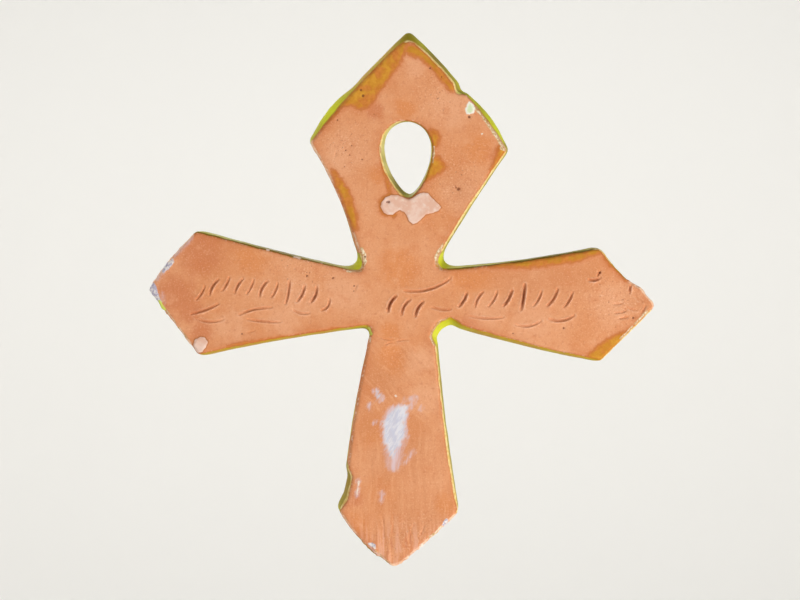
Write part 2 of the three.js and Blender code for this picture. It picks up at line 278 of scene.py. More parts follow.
# Chips, and the drop of glaze at the nick
CHIP_OUTLINES = [
    [(-68.3, -40.3), (-70.2, -41.6), (-71.9, -43.5), (-71.5, -44.8), (-69.6, -43.7), (-68.1, -41.8)],
    [
        (-75.6, -46.3), (-74.0, -47.6), (-73.1, -49.4), (-72.6, -51.2), (-71.6, -53.4), (-72.6, -54.2),
        (-74.5, -53.6), (-77.0, -51.0), (-77.0, -47.5),
    ],
    [
        (18.6, 6.3), (19.6, 5.5), (20.3, 4.6), (20.3, 2.9), (19.6, 1.9), (18.0, 1.9),
        (17.5, 3.1), (17.7, 4.5), (18.3, 5.3),
    ],
]
CHIP_BARS = [
    (-10.6, -124.3, -9.6, -124.8, 0.5, 0.7),
    (-9.6, -124.8, -9.0, -125.6, 0.7, 0.4),
    (11.2, -118.6, 12.0, -117.6, 0.5, 0.6),
    (4.4, -125.2, 5.0, -124.6, 0.4, 0.3),
    (-40.8, -37.8, -40.4, -37.9, 0.3, 0.3),
    (-32.8, -39.8, -31.0, -40.2, 0.25, 0.25),
    (-24.9, -41.8, -24.6, -41.9, 0.3, 0.25),
    (22.4, -3.8, 22.6, -3.9, 0.12, 0.12),
    (-2.9, -80.8, -2.8, -81.0, 0.4, 0.35),
    (-13.7, -106.0, -14.3, -109.8, 0.28, 0.32),
]

# Spots of lime glaze
LIME_BARS = [
    (-72.6, -53.2, -71.0, -55.4, 0.7, 0.5),
    (-10.9, -61.2, -10.2, -62.6, 0.7, 0.5),
    (15.6, 8.6, 16.2, 8.2, 0.5, 0.4),
]

# The white smear, and the haze round it and elsewhere
SMEAR_OUTLINES = [
    [
        (-6.8, -89.0), (-5.0, -86.6), (-3.4, -84.8), (-1.4, -83.6), (0.8, -83.4), (0.3, -86.2),
        (-0.4, -88.9), (0.1, -92.4), (-1.3, -95.0), (-3.1, -96.8), (-4.3, -97.9), (-5.3, -96.8),
        (-6.4, -94.6), (-6.4, -90.9),
    ],
]
SMEAR_BARS = [
    (-8.5, -79.8, -7.8, -81.2, 0.3, 0.3),
    (-4.0, -97.6, -3.6, -98.8, 0.8, 0.3),
]
HAZE_OUTLINES = [
    [
        (-7.4, -89.0), (-5.2, -84.6), (-2.8, -82.8), (0.8, -83.4), (0.6, -86.5), (0.2, -89.1),
        (0.8, -92.6), (0.2, -95.4), (-0.8, -98.0), (-1.2, -101.0), (-2.6, -103.4), (-4.6, -103.0),
        (-5.9, -101.2), (-6.4, -97.0), (-7.2, -93.0),
    ],
]
HAZE_BARS = [
    (-0.1, -82.4, 2.8, -81.4, 0.5, 0.6),
    (2.8, -81.4, 1.3, -84.3, 0.6, 0.5),
    (-0.1, -100.4, 2.5, -97.1, 0.5, 0.5),
    (-8.9, -79.2, -7.2, -81.6, 0.9, 0.8),
    (-10.8, -83.8, -10.6, -84.4, 0.7, 0.6),
    (-9.0, -88.4, -9.0, -89.0, 0.4, 0.4),
    (4.4, -84.4, 4.4, -84.9, 0.4, 0.4),
    (-13.7, -105.8, -14.4, -110.2, 0.35, 0.4),
    (-7.2, -109.4, -7.2, -111.6, 0.6, 0.6),
    (-10.6, -125.4, -8.0, -127.8, 0.35, 0.3),
    (-62.9, -34.4, -67.7, -39.6, 0.3, 0.35),
    (-71.6, -44.4, -73.0, -46.2, 0.5, 0.5),
    (-71.6, -50.5, -70.8, -53.5, 0.4, 0.3),
]

# Rims where the glaze runs out thin and pale, with a painted highlight on them where they face the light
PALE_RIM_AND_HIGHLIGHT_BARS = [
    (0.8, 22.8, 9.8, 17.0, 0.9, 1.0),
    (9.8, 17.0, 15.4, 8.6, 1.0, 0.8),
    (29.9, -7.9, 11.0, -36.5, 1.6, 1.6),
    (9.8, -67.5, 15.4, -115.3, 1.4, 1.6),
    (73.5, -54.8, 59.3, -70.3, 1.4, 1.4),
    (-15.6, -33.5, -12.4, -40.0, 1.0, 0.8),
    (57.2, -37.2, 60.0, -40.5, 1.5, 1.2),
    (-6.9, -6.0, -7.0, -10.0, 1.8, 1.8),
    (-6.9, -6.0, -2.0, -0.8, 1.8, 0.8),
    (-7.0, -10.0, -1.5, -21.0, 1.8, 0.8),
    (-16.4, -101.0, -18.6, -113.0, 1.2, 1.2),
]

# Rims with an ochre line of glaze, and rims along the tops of the side arms with a dark olive line of painted
# shade
OCHRE_RIM_BARS = [
    (13.5, -59.6, 56.0, -70.2, 1.6, 1.6),
    (-61.0, -68.4, -13.0, -60.4, 1.6, 1.4),
    (58.0, -38.0, 66.0, -47.4, 1.2, 1.0),
    (7.4, -6.0, 5.2, -16.8, 1.2, 0.9),
]
PAINTED_SHADE_OLIVE_RIM_BARS = [
    (-62.0, -32.4, -14.0, -42.6, 1.4, 1.4),
    (14.0, -43.4, 56.5, -37.0, 1.4, 1.4),
]

# Rims that are bare clay down to the upper part of the wall, nearly all of them rubbed pale, and the pale
# line on them is also a painted highlight
WORN_AND_HIGHLIGHT_RIM_BARS = [
    (-28.0, -7.4, -14.4, -37.0, 1.4, 1.4),
    (-64.0, -34.6, -75.0, -46.0, 1.6, 1.6),
    (-74.6, -55.0, -62.4, -68.0, 1.6, 1.4),
    (-16.6, -116.0, -0.8, -131.0, 2.0, 2.0),
    (-0.8, -131.0, 13.6, -117.6, 2.0, 2.0),
    (66.6, -47.4, 73.8, -54.0, 1.4, 1.4),
]
BARE_RIM_BARS = WORN_AND_HIGHLIGHT_RIM_BARS + [(-10.4, -65.9, -15.9, -99.0, 1.6, 1.6)]

# Soft round areas, each with its middle and its radius. Tones of the bare clay
RED_AREAS = [
    (-60.4, -38.9, 8.0),
    (-67.7, -50.8, 7.0),
    (-60.0, -62.0, 4.0),
    (-63.4, -55.6, 5.0),
    (27.0, -10.0, 3.0),
    (-15.0, -111.0, 3.0),
    (19.0, -60.0, 4.0),
    (-9.0, 3.0, 3.0),
]
ORANGE_AREAS = [
    (19.0, -45.3, 7.0),
    (-1.6, -43.5, 7.0),
    (21.9, -8.5, 5.0),
    (-4.6, -62.5, 4.0),
    (-4.6, -68.4, 4.2),
    (-3.6, -71.0, 4.6),
    (-10.4, -90.9, 5.0),
    (-14.5, -119.0, 4.0),
    (12.0, -113.0, 4.0),
    (-8.0, -16.0, 3.0),
    (0.0, 3.4, 4.0),
    (-45.0, -40.0, 6.0),
]
# Painted shade: duller, darker clay where the light falls off across the right arm; the other areas are
# darkened the same way
DULL_AND_PAINTED_SHADE_AREAS = [
    (36.0, -46.0, 10.0),
    (46.0, -46.0, 9.0),
    (69.5, -53.0, 5.0),
    (-1.0, -98.0, 11.0),
    (2.0, -118.0, 10.0),
    (16.5, -20.0, 5.0),
    (-10.4, -90.0, 6.0),
    (-8.0, -77.0, 6.0),
]
PINK_AREAS = [
    (61.0, -54.1, 8.0),
    (36.6, -58.5, 8.0),
    (14.1, 3.2, 7.0),
    (-17.8, -49.7, 7.0),
    (5.7, -82.1, 6.0),
    (24.9, -55.6, 7.0),
    (-31.0, -52.6, 7.0),
    (-51.6, -60.0, 6.0),
    (4.3, -70.3, 5.0),
    (-18.0, -10.0, 8.0),
    (3.0, 16.0, 4.0),
    (-36.0, -58.0, 6.0),
    (16.0, -22.0, 6.0),
]

# Where the clay is speckled, and where it is rough
SPECKLED_AREAS = [
    (-17.8, -8.0, 8.0),
    (15.0, -18.0, 8.0),
    (10.0, 8.0, 6.0),
    (62.0, -54.0, 9.0),
    (-30.0, -44.0, 8.0),
    (2.0, -124.0, 8.0),
]
ROUGH_AREAS = [
    (66.0, -54.5, 7.0),
]

# Tones of the glaze on the walls. The lime areas are pooled glaze with painted light where the walls face the
# light, and they make a chip there a drop of pale green glaze. The cream areas are painted light on the
# hole's lit wall, and the olive areas are painted shade on walls turned from the light
LIME_AND_PAINTED_LIGHT_AREAS = [
    (19.0, 4.0, 3.0),
    (12.5, -41.0, 5.0),
    (11.0, -61.5, 5.0),
    (9.0, -66.0, 4.0),
    (-22.5, 3.5, 6.0),
    (26.0, -2.0, 6.0),
    (-12.6, -40.6, 4.0),
]
OCHRE_AREAS = [
    (-18.0, -107.0, 5.0),
    (-5.0, 19.0, 5.0),
    (-12.0, 13.5, 6.0),
    (24.0, -62.5, 7.0),
    (36.0, -66.0, 8.0),
    (49.0, -69.0, 7.0),
    (60.0, -68.0, 6.0),
    (60.0, -40.0, 5.0),
    (-24.0, -62.6, 6.0),
    (-34.0, -64.4, 7.0),
    (-45.0, -66.4, 7.0),
    (-55.0, -68.0, 6.0),
]
PAINTED_LIGHT_CREAM_AREAS = [
    (-7.4, -7.6, 3.6),
    (-5.0, -2.4, 3.6),
    (-5.8, -13.4, 3.0),
]
PAINTED_SHADE_OLIVE_AREAS = [
    (0.0, 25.0, 5.0),
    (9.0, 19.0, 5.0),
    (44.0, -38.0, 12.0),
    (-35.0, -38.0, 16.0),
]

# Where the chips are lilac-grey instead of cream
LILAC_AREAS = [
    (-71.6, -47.6, 9.0),
    (-9.8, -124.6, 1.4),
    (11.8, -118.2, 1.4),
]

# Pores and small pits: middle and radius
PINHOLES = [
    (-21.3, -46.2, 0.42),
    (-15.1, -48.5, 0.3),
    (-15.3, -50.0, 0.26),
    (-48.1, -62.6, 0.36),
    (46.5, -60.9, 0.42),
    (-13.1, 9.1, 0.45),
    (-12.5, 7.4, 0.5),
    (15.6, -20.0, 0.6),
    (14.9, -19.6, 0.35),
    (-11.9, -39.9, 0.4),
    (18.7, 1.2, 0.5),
    (-5.4, -23.8, 0.4),
    (-17.6, -8.6, 0.3),
    (-15.9, -7.2, 0.26),
    (-16.4, -10.0, 0.26),
    (13.2, -120.4, 0.26),
    (-18.0, -13.4, 0.24),
    (-9.2, 2.0, 0.26),
    (10.6, 13.0, 0.3),
    (7.2, 15.6, 0.36),
    (-29.0, -45.6, 0.36),
    (57.2, -44.6, 0.45),
    (-20.0, 0.3, 0.3),
    (-12.8, -11.3, 0.3),
    (14.6, -119.6, 0.3),
    (67.0, -57.9, 0.42),
    (-7.4, -8.6, 0.3),
    (31.6, -62.5, 0.3),
    (-4.9, -23.8, 0.5),
]


def flat_mm(points):
    """Points of the cross in millimetres as seen from the back: right, up and out of the back."""
    return np.stack([-points[:, 0], points[:, 2], points[:, 1]], axis=1) / MM


def segment_gaps(points, start, end):
    """Each point's distance from one segment, and how far along the segment it lies from 0 to 1."""
    run = np.subtract(end, start)
    offset = points[:, :2] - start
    share = np.clip(offset @ run / (run @ run), 0, 1)
    return np.hypot(*(offset - share[:, None] * run).T), share


def patch_distance(points, outlines, bars=()):
    """How far each point is outside the nearest patch, in millimetres; negative inside."""
    nearest = np.full(len(points), 1e3)
    for x1, y1, x2, y2, r1, r2 in bars:
        gap, share = segment_gaps(points, (x1, y1), (x2, y2))
        nearest = np.minimum(nearest, gap - (r1 + (r2 - r1) * share))
    for outline in outlines:
        gap = np.full(len(points), 1e3)
        inside = np.zeros(len(points), bool)
        for (x1, y1), (x2, y2) in zip(outline, outline[1:] + outline[:1]):
            gap = np.minimum(gap, segment_gaps(points, (x1, y1), (x2, y2))[0])
            if y1 != y2:
                crossing_x = x1 + (points[:, 1] - y1) * (x2 - x1) / (y2 - y1)
                spans = (points[:, 1] > min(y1, y2)) & (points[:, 1] <= max(y1, y2))
                inside ^= spans & (points[:, 0] < crossing_x)
        nearest = np.minimum(nearest, np.where(inside, -gap, gap))
    return nearest


def stroke_line(x, y, length, degrees, sag, steps=16):
    """The points along one stroke."""
    share = np.linspace(0, 1, steps + 1)
    along = np.array([math.cos(math.radians(degrees)), math.sin(math.radians(degrees))])
    across = np.array([along[1], -along[0]])
    bend = sag * (4 * share * (1 - share) - 0.5)
    return (x, y) + np.outer((share - 0.5) * length, along) + np.outer(bend, across)


def stroke_distance(points):
    """Each point's signed distance from its nearest stroke in half widths, and that stroke's weight there."""
    nearest = np.full(len(points), 1e3)
    signed = np.full(len(points), 1e3)
    weight = np.zeros(len(points))
    for x, y, length, degrees, sag, heft in STROKES + SCRATCHES:
        line = stroke_line(x, y, length, degrees, sag)
        middle_gap = np.hypot(points[:, 0] - x, points[:, 1] - y)
        where = np.flatnonzero(middle_gap < length / 2 + STROKE_MARGIN)
        local = points[where, :2]
        best = np.full(len(where), 1e3)
        side = np.zeros(len(where))
        share = np.zeros(len(where))
        for k, (start, end) in enumerate(zip(line, line[1:])):
            gap, t = segment_gaps(local, start, end)
            run = end - start
            offset = local - start
            closer = gap < best
            best = np.where(closer, gap, best)
            side = np.where(closer, np.sign(run[0] * offset[:, 1] - run[1] * offset[:, 0]), side)
            share = np.where(closer, (k + t) / (len(line) - 1), share)
        fade = np.sqrt(np.clip(np.sin(math.pi * (0.06 + 0.88 * share)), 0, 1))
        best = best / (STROKE_HALF_WIDTH * (0.65 + 0.35 * heft))
        closer = best < nearest[where]
        nearest[where] = np.where(closer, best, nearest[where])
        signed[where] = np.where(closer, best * side, signed[where])
        weight[where] = np.where(closer, fade * heft, weight[where])
    return signed, weight


def soft_areas(points, areas):
    """1 in the middle of the nearest of some round areas and 0 well outside them all."""
    share = np.zeros(len(points))
    for x, y, radius in areas:
        gap = np.hypot(points[:, 0] - x, points[:, 1] - y) / radius
        share = np.maximum(share, np.exp(-gap ** 2))
    return share


def near_bars(points, bars):
    """1 inside some bars, fading to 0 a little outside them."""
    return smooth_step(0.8, -0.2, patch_distance(points, [], bars))


def wander(points, size, seed, stretch=(1, 1, 1)):
    """Smooth noise from -1 to 1 with features of one size in millimetres."""
    scaled = points / (size * np.array(stretch)) + seed
    return np.fromiter((noise.noise(Vector(p)) for p in scaled), float, len(scaled))


def smooth_step(low, high, values):
    """0 at low and 1 at high, smooth in between, whichever of the two is the higher."""
    share = np.clip((values - low) / (high - low), 0, 1)
    return share * share * (3 - 2 * share)


def rim_tree(node):
    """The back's outer edges on the solid, sampled closely, as a tree of points."""
    points = flat_mm(np.array([v.co for v in node.data.vertices]))
    samples = []
    for edge in node.data.edges:
        a, b = points[edge.vertices[0]], points[edge.vertices[1]]
        level = (a[2] + b[2]) / 2
        off_rim = min(abs(level + BACK_ROUND), abs(level + HOLE_ROUND))
        if max(off_rim, abs(a[2] - b[2])) < LEVEL_TOLERANCE:
            count = max(1, int(np.hypot(*(b - a)[:2]) / RIM_SAMPLE))
            samples += [a + (b - a) * k / count for k in range(count)]
    tree = kdtree.KDTree(len(samples))
    for index, point in enumerate(samples):
        tree.insert((point[0], point[1], 0), index)
    tree.balance()
    return tree


def rim_distance(tree, points):
    """How far each point is from the nearest back edge, seen from the back, in millimetres."""
    return np.fromiter((tree.find((p[0], p[1], 0))[2] for p in points), float, len(points))


def even_skin(node):
    """A copy of the solid's surface made of small even faces."""
    shell = bmesh.new()
    shell.from_mesh(node.data)
    bmesh.ops.remove_doubles(shell, verts=shell.verts, dist=1e-6)
    mesh = bpy.data.meshes.new("clay_cross")
    shell.to_mesh(mesh)
    shell.free()
    piece = bpy.data.objects.new("clay_cross", mesh)
    bpy.context.scene.collection.objects.link(piece)
    remesh = piece.modifiers.new("even_skin", "REMESH")
    remesh.mode = "VOXEL"
    remesh.voxel_size = SKIN_STEP
    graph = bpy.context.evaluated_depsgraph_get()
    skin = bpy.data.meshes.new_from_object(piece.evaluated_get(graph))
    piece.modifiers.clear()
    piece.data = skin
    return piece


def vertex_points(shape):
    return np.array([v.co for v in shape.verts])


def place_vertices(shape, points):
    for vertex, point in zip(shape.verts, points):
        vertex.co = point


def level_back(shape, tree):
    """Fills what the coarse skin kept of the strokes, so that the back is flat inside its rim."""
    points = flat_mm(vertex_points(shape))
    flat = (points[:, 2] > -BACK_ROUND) & (rim_distance(tree, points) > FLAT_MARGIN)
    for vertex, is_flat in zip(shape.verts, flat):
        if is_flat:
            vertex.co.y = 0


def refine(shape, wanted):
    """Splits each edge in two where both of its ends are wanted."""
    shape.verts.index_update()
    edges = [e for e in shape.edges if wanted[e.verts[0].index] and wanted[e.verts[1].index]]
    bmesh.ops.subdivide_edges(shape, edges=edges, cuts=1, use_grid_fill=True)


def refine_details(shape, tree):
    """Smaller faces along the back rim, round the raised patches and, twice over, at the strokes."""
    points = flat_mm(vertex_points(shape))
    on_back = points[:, 2] > -BACK_ROUND
    slip = patch_distance(points, SLIP_OUTLINES)
    chips = patch_distance(points, CHIP_OUTLINES, CHIP_BARS)
    crust = patch_distance(points, CRUST_OUTLINES, CRUST_BARS)
    patches = np.minimum(np.abs(np.minimum(slip, chips)), np.abs(crust))
    # A pore is measured as a bar of hardly any length
    pore_bars = [(x, y, x + 0.1, y, radius, radius) for x, y, radius in PINHOLES]
    patches = np.minimum(patches, patch_distance(points, [], pore_bars))
    near_rim = (rim_distance(tree, points) < RIM_ZONE) & (points[:, 2] > -RIM_DEPTH)
    near_detail = (patches < PATCH_ZONE) | (np.abs(stroke_distance(points)[0]) < STROKE_ZONE)
    refine(shape, near_rim | (on_back & near_detail))
    points = flat_mm(vertex_points(shape))
    near_stroke = np.abs(stroke_distance(points)[0]) < INNER_STROKE_ZONE
    refine(shape, (points[:, 2] > -BACK_ROUND) & near_stroke)


def stroke_relief(points):
    """The scratched grooves with the clay that they pushed up, then the painted shade on their floors and
    that pushed-up clay alone, which carries a painted highlight.
    """
    signed, weight = stroke_distance(points)
    gap = np.abs(signed)
    groove = -STROKE_DEPTH * np.clip(1 - gap ** 1.6, 0, 1)
    heavy_side = np.where(signed < 0, 1.0, 0.45)
    burr_and_painted_highlight = BURR_HEIGHT * heavy_side * np.exp(-((gap - 1.5) / 0.42) ** 2)
    ragged = 0.7 + 0.9 * wander(points, 0.8, 7.3)
    # Painted shade: how dark the floor of each groove is painted
    dark = np.clip(weight - 0.45, 0, 1) * np.clip(1.2 - gap, 0, 1)
    return weight * (groove + burr_and_painted_highlight * ragged), dark, weight * burr_and_painted_highlight * ragged


def back_relief(points, rim, patches):
    """How far the bare back stands out of its plane, in millimetres."""
    height = 0.12 * wander(points, 22, 1.7) + 0.07 * wander(points, 7, 4.1)
    height += 0.055 * wander(points, 2.2, 9.2)
    bent = points + np.outer(wander(points, 9, 6.1), (1.2, 0, 0))
    wiped = smooth_step(*UPRIGHT_WIPING, points[:, 1])
    height += 0.08 * wiped * wander(bent, 1.4, 3.3, (1, 10, 1))
    slant = bent @ np.array([[0.8, 0.6, 0], [-0.6, 0.8, 0], [0, 0, 1.0]])
    slanted = smooth_step(*SLANTED_WIPING, points[:, 1]) * smooth_step(*SLANTED_WIPING_END, points[:, 1])
    height += 0.09 * slanted * wander(slant, 1.7, 5.9, (9, 1, 1))
    ridged = smooth_step(*TIP_RIDGES, points[:, 1])
    height += TIP_RIDGE_HEIGHT * ridged * wander(bent, 1.4, 8.1, (1, 5, 1))
    rough = soft_areas(points, ROUGH_AREAS)
    height += 0.22 * rough * wander(points, 1.3, 5.2, (2.2, 1, 1))
    thumb = np.hypot(*((points[:, :2] - THUMB_CENTRE) / THUMB_HALF_SIZE).T)
    height -= THUMB_DEPTH * np.exp(-thumb ** 2 * 1.6)
    height += THUMB_LIP * np.exp(-((thumb - 1.1) / 0.2) ** 2) * smooth_step(*THUMB_LIP_HEIGHTS, points[:, 1])
    slip = patches["slip"] + 0.2 * wander(points, 1.4, 2.2)
    height += SLIP_HEIGHT * smooth_step(0.15, -0.25, slip)
    height += 0.08 * np.exp(-((slip + 0.3) / 0.25) ** 2)
    spill = patches["spill"] + 0.5 * wander(points, 1.6, 4.4)
    height += SPILL_HEIGHT * smooth_step(0.3, -0.8, spill) * (0.8 + 0.6 * wander(points, 1.1, 6.9))
    crumbs = np.minimum(patches["chips"], patches["crust"]) + 0.3 * wander(points, 1.0, 6.6)
    height += CRUMB_HEIGHT * smooth_step(0.2, -0.4, crumbs) * (1.0 + 0.8 * wander(points, 1.1, 8.8))
    for x, y, radius in PINHOLES:
        gap = np.hypot(points[:, 0] - x, points[:, 1] - y) / radius
        height -= PORE_DEPTH * np.exp(-gap ** 2)
    return height * smooth_step(-0.3, 1.3, rim)


def surface_marks(points, rim):
    """What lies at each point of the back: patches as distances, and areas and rims as shares."""
    marks = {
        "slip": patch_distance(points, SLIP_OUTLINES),
        "spill": patch_distance(points, SPILL_OUTLINES, SPILL_BARS),
        "crust": patch_distance(points, CRUST_OUTLINES, CRUST_BARS),
        "chips": patch_distance(points, CHIP_OUTLINES, CHIP_BARS),
        "lime": patch_distance(points, [], LIME_BARS),
        "smear": patch_distance(points, SMEAR_OUTLINES, SMEAR_BARS),
        "haze": patch_distance(points, HAZE_OUTLINES, HAZE_BARS),
        "thin_glaze_and_painted_highlight_rim": near_bars(points, PALE_RIM_AND_HIGHLIGHT_BARS),
        "ochre_rim": near_bars(points, OCHRE_RIM_BARS),
        "painted_shade_olive_rim": near_bars(points, PAINTED_SHADE_OLIVE_RIM_BARS),
        "bare_rim": near_bars(points, BARE_RIM_BARS),
        "worn_rim_and_painted_highlight": near_bars(points, WORN_AND_HIGHLIGHT_RIM_BARS),
        "red_area": soft_areas(points, RED_AREAS),
        "orange_area": soft_areas(points, ORANGE_AREAS),
        "dull_and_painted_shade_area": soft_areas(points, DULL_AND_PAINTED_SHADE_AREAS),
        "pink_area": soft_areas(points, PINK_AREAS),
        "speckled": soft_areas(points, SPECKLED_AREAS),
        "lime_and_painted_light_area": soft_areas(points, LIME_AND_PAINTED_LIGHT_AREAS),
        "painted_shade_olive_area": soft_areas(points, PAINTED_SHADE_OLIVE_AREAS),
        "ochre_area": soft_areas(points, OCHRE_AREAS),
        "painted_light_cream_area": soft_areas(points, PAINTED_LIGHT_CREAM_AREAS),
        "lilac_area": soft_areas(points, LILAC_AREAS),
    }
    depth_below = np.clip(-points[:, 2] - 1.0, 0, None)
    for name in ("crust", "chips", "lime", "spill"):
        marks[name] += depth_below * (0.7 + 0.4 * wander(points, 2.5, 3.7))
    reach = np.full(len(points), USUAL_REACH)
    for name, wanted in RIM_REACHES.items():
        reach += (wanted - reach) * marks[name]
    inside = np.where(points[:, 2] > -BACK_ROUND, rim, points[:, 2] + BACK_ROUND)
    marks["edge"] = inside
    uneven = 1 + 0.5 * wander(points, 3.5, 2.6) + 0.5 * wander(points, 11, 5.6)
    marks["past_glaze"] = inside - reach * uneven
    return marks


def shape_surface(shape, tree):
    """Moves the skin to its fine relief and returns what the finish needs to know at each point."""
    bmesh.ops.recalc_face_normals(shape, faces=shape.faces)
    shape.normal_update()
    points = flat_mm(vertex_points(shape))
    normals = np.array([v.normal for v in shape.verts])
    rim = rim_distance(tree, points)
    marks = surface_marks(points, rim)
    back = smooth_step(-0.4, 0.0, points[:, 2])
    strokes, groove, burr_and_painted_highlight = stroke_relief(points)
    glaze_wave = 0.10 * wander(points, 6, 2.9) + 0.05 * wander(points, 2.4, 5.5)
    worn = smooth_step(0.9, 0.1, rim) * smooth_step(-2.5, -1.0, points[:, 2])
    push = back * (back_relief(points, rim, marks) + strokes) + (1 - back) * glaze_wave
    tips = smooth_step(*BOTTOM_TIP_WEAR, points[:, 1]) + smooth_step(*LEFT_TIP_WEAR, points[:, 0])
    ragged = 0.13 * wander(points, 2.6, 11.1) + 0.10 * wander(points, 1.0, 12.4)
    notched = smooth_step(*TIP_NOTCHES, points[:, 1])
    notches = TIP_NOTCH_DEPTH * notched * wander(points, 1.7, 8.1, (1, 5, 2))
    push += worn * (ragged * (1 + marks["bare_rim"] + 2.5 * tips) + notches)
    moved = vertex_points(shape) + normals * (push * MM)[:, None]
    front = smooth_step(-THICKNESS + 3, -THICKNESS + 0.5, points[:, 2])
    moved[:, 1] -= PILLOW * MM * front * (1 - np.exp(-(rim / 7) ** 2))
    place_vertices(shape, moved)
    pores = [np.hypot(points[:, 0] - x, points[:, 1] - y) / radius for x, y, radius in PINHOLES]
    # Painted shade in the grooves and a painted highlight on their burrs, as shares
    marks["groove"] = groove * back
    marks["burr_and_painted_highlight"] = burr_and_painted_highlight / BURR_HEIGHT * back
    marks["pores"] = np.min(pores, axis=0) + 3 * (1 - back)
    marks["front"] = smooth_step(0.80, 0.97, -normals[:, 1])
    for name in ("lime_and_painted_light_area", "painted_shade_olive_area", "ochre_area", "painted_light_cream_area"):
        marks[name] *= smooth_step(0.95, 0.5, -normals[:, 1])
    return marks


def clay_cross():
    """The whole cross: the solid's form with strokes, wiped clay, patches, chips and the glaze's edge."""
    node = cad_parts["ceramic_cross"]
    tree = rim_tree(node)
    piece = even_skin(node)
    shape = bmesh.new()
    shape.from_mesh(piece.data)
    level_back(shape, tree)
    walls = [v for v in shape.verts if v.co.y < -BACK_ROUND * MM]
    axes = {"use_axis_x": True, "use_axis_y": True, "use_axis_z": True}
    for _ in range(WALL_SMOOTHINGS):
        bmesh.ops.smooth_vert(shape, verts=walls, factor=0.5, **axes)
    refine_details(shape, tree)
    fields = shape_surface(shape, tree)
    bmesh.ops.triangulate(shape, faces=[f for f in shape.faces if len(f.verts) > 4])
    for face in shape.faces:
        face.smooth = True
    shape.to_mesh(piece.data)
    shape.free()
    for name, values in fields.items():
        attribute = piece.data.attributes.new(name, "FLOAT", "POINT")
        attribute.data.foreach_set("value", np.asarray(values, dtype=np.float32))
    return piece


def metres(pair):
    return [value * MM for value in pair]


def srgb(red, green, blue):
    """A colour given as 0 to 255 on screen, as the linear values that a shader takes."""
    def linear(value):
        share = value / 255
        return share / 12.92 if share <= 0.04045 else ((share + 0.055) / 1.055) ** 2.4
    return (linear(red), linear(green), linear(blue), 1)


class Value:
    """A number that varies over a surface, which takes part in sums."""

    def __init__(self, finish, socket):
        self.finish = finish
        self.socket = socket

    def combine(self, operation, first, second):
        return self.finish.node("ShaderNodeMath", {"operation": operation}, {0: first, 1: second}, 0)

    def __add__(self, other):
        return self.combine("ADD", self, other)

    def __radd__(self, other):
        return self.combine("ADD", other, self)

    def __sub__(self, other):
        return self.combine("SUBTRACT", self, other)

    def __rsub__(self, other):
        return self.combine("SUBTRACT", other, self)

    def __mul__(self, other):
        return self.combine("MULTIPLY", self, other)

    def __rmul__(self, other):
        return self.combine("MULTIPLY", other, self)


class Finish:
    """One material and its nodes."""

    def __init__(self, name):
        self.material = bpy.data.materials.new(name)
        self.material.use_nodes = True
        self.tree = self.material.node_tree
        self.tree.nodes.clear()

    def node(self, kind, settings, sockets, output):
        """Adds a node with its settings, then its sockets' values or links, and returns one output."""
        made = self.tree.nodes.new(kind)
        for name, value in settings.items():
            setattr(made, name, value)
        for name, value in sockets.items():
            if isinstance(value, Value):
                self.tree.links.new(value.socket, made.inputs[name])
            else:
                made.inputs[name].default_value = value
        return Value(self, made.outputs[output])

    def place(self):
        return self.node("ShaderNodeTexCoord", {}, {}, "Object")

    def field(self, name):
        return self.node("ShaderNodeAttribute", {"attribute_name": name}, {}, "Fac")

    def part(self, vector, axis):
        return self.node("ShaderNodeSeparateXYZ", {}, {0: vector}, axis)

    def stretched(self, vector, scale):
        return self.node("ShaderNodeMapping", {}, {"Vector": vector, "Scale": scale}, 0)

    def turned(self, vector, angles):
        return self.node("ShaderNodeMapping", {}, {"Vector": vector, "Rotation": angles}, 0)

    def shifted(self, vector, amount):
        """A place moved sideways by a number of metres."""
        sideways = self.node("ShaderNodeCombineXYZ", {}, {0: amount}, 0)
        return self.node("ShaderNodeVectorMath", {"operation": "ADD"}, {0: vector, 1: sideways}, 0)

    def mottle(self, vector, size, detail, roughness=0.5):
        """Noise from 0 to 1 with features of one size in metres."""
        sockets = {"Vector": vector, "Scale": 1 / size, "Detail": detail, "Roughness": roughness}
        return self.node("ShaderNodeTexNoise", {}, sockets, 0)

    def step(self, value, low, high):
        """0 below low and 1 above high, smooth in between; the other way round where low is the higher."""
        start, end = (0.0, 1.0) if low < high else (1.0, 0.0)
        sockets = {"Value": value, 1: min(low, high), 2: max(low, high), 3: start, 4: end}
        return self.node("ShaderNodeMapRange", {"interpolation_type": "SMOOTHSTEP"}, sockets, 0)

    def blend(self, factor, first, second):
        """One colour turning into another as the factor goes from 0 to 1."""
        sockets = {0: factor, 6: first, 7: second}
        return self.node("ShaderNodeMix", {"data_type": "RGBA", "clamp_factor": True}, sockets, 2)

    def finish(self, shader):
        """Makes a shader the material's surface."""
        made = self.tree.nodes.new("ShaderNodeOutputMaterial")
        self.tree.links.new(shader.socket, made.inputs["Surface"])


class ClayFinish(Finish):
    """The cross's finish, with the patterns that several of its layers share."""

    def __init__(self):
        super().__init__("bare_clay_and_lime_glaze")
        spot = self.place()
        self.spot = spot
        self.cloud = self.mottle(spot, 0.016, 3)
        self.blotch = self.mottle(spot, 0.0045, 3, 0.6)
        self.fine = self.mottle(spot, 0.0013, 3, 0.65)
        self.grain = self.mottle(spot, 0.0005, 2, 0.7)
        self.dots = self.mottle(spot, 0.0009, 1)
        self.wobble = self.mottle(spot, 0.0022, 4, 0.6) - 0.5
        self.crumble = self.mottle(spot, 0.0007, 3, 0.6) - 0.5
        bent = self.shifted(spot, self.mottle(spot, 0.011, 2) * 0.004)
        self.streaks = self.drawn_out(bent)
        self.slanted = self.drawn_out(self.turned(bent, (0, -0.75, 0)))
        self.edge = self.field("edge")

    def drawn_out(self, vector):
        """Long thin streaks along Z."""
        return self.mottle(self.stretched(vector, (1, 1, 0.08)), 0.0012, 3, 0.6)


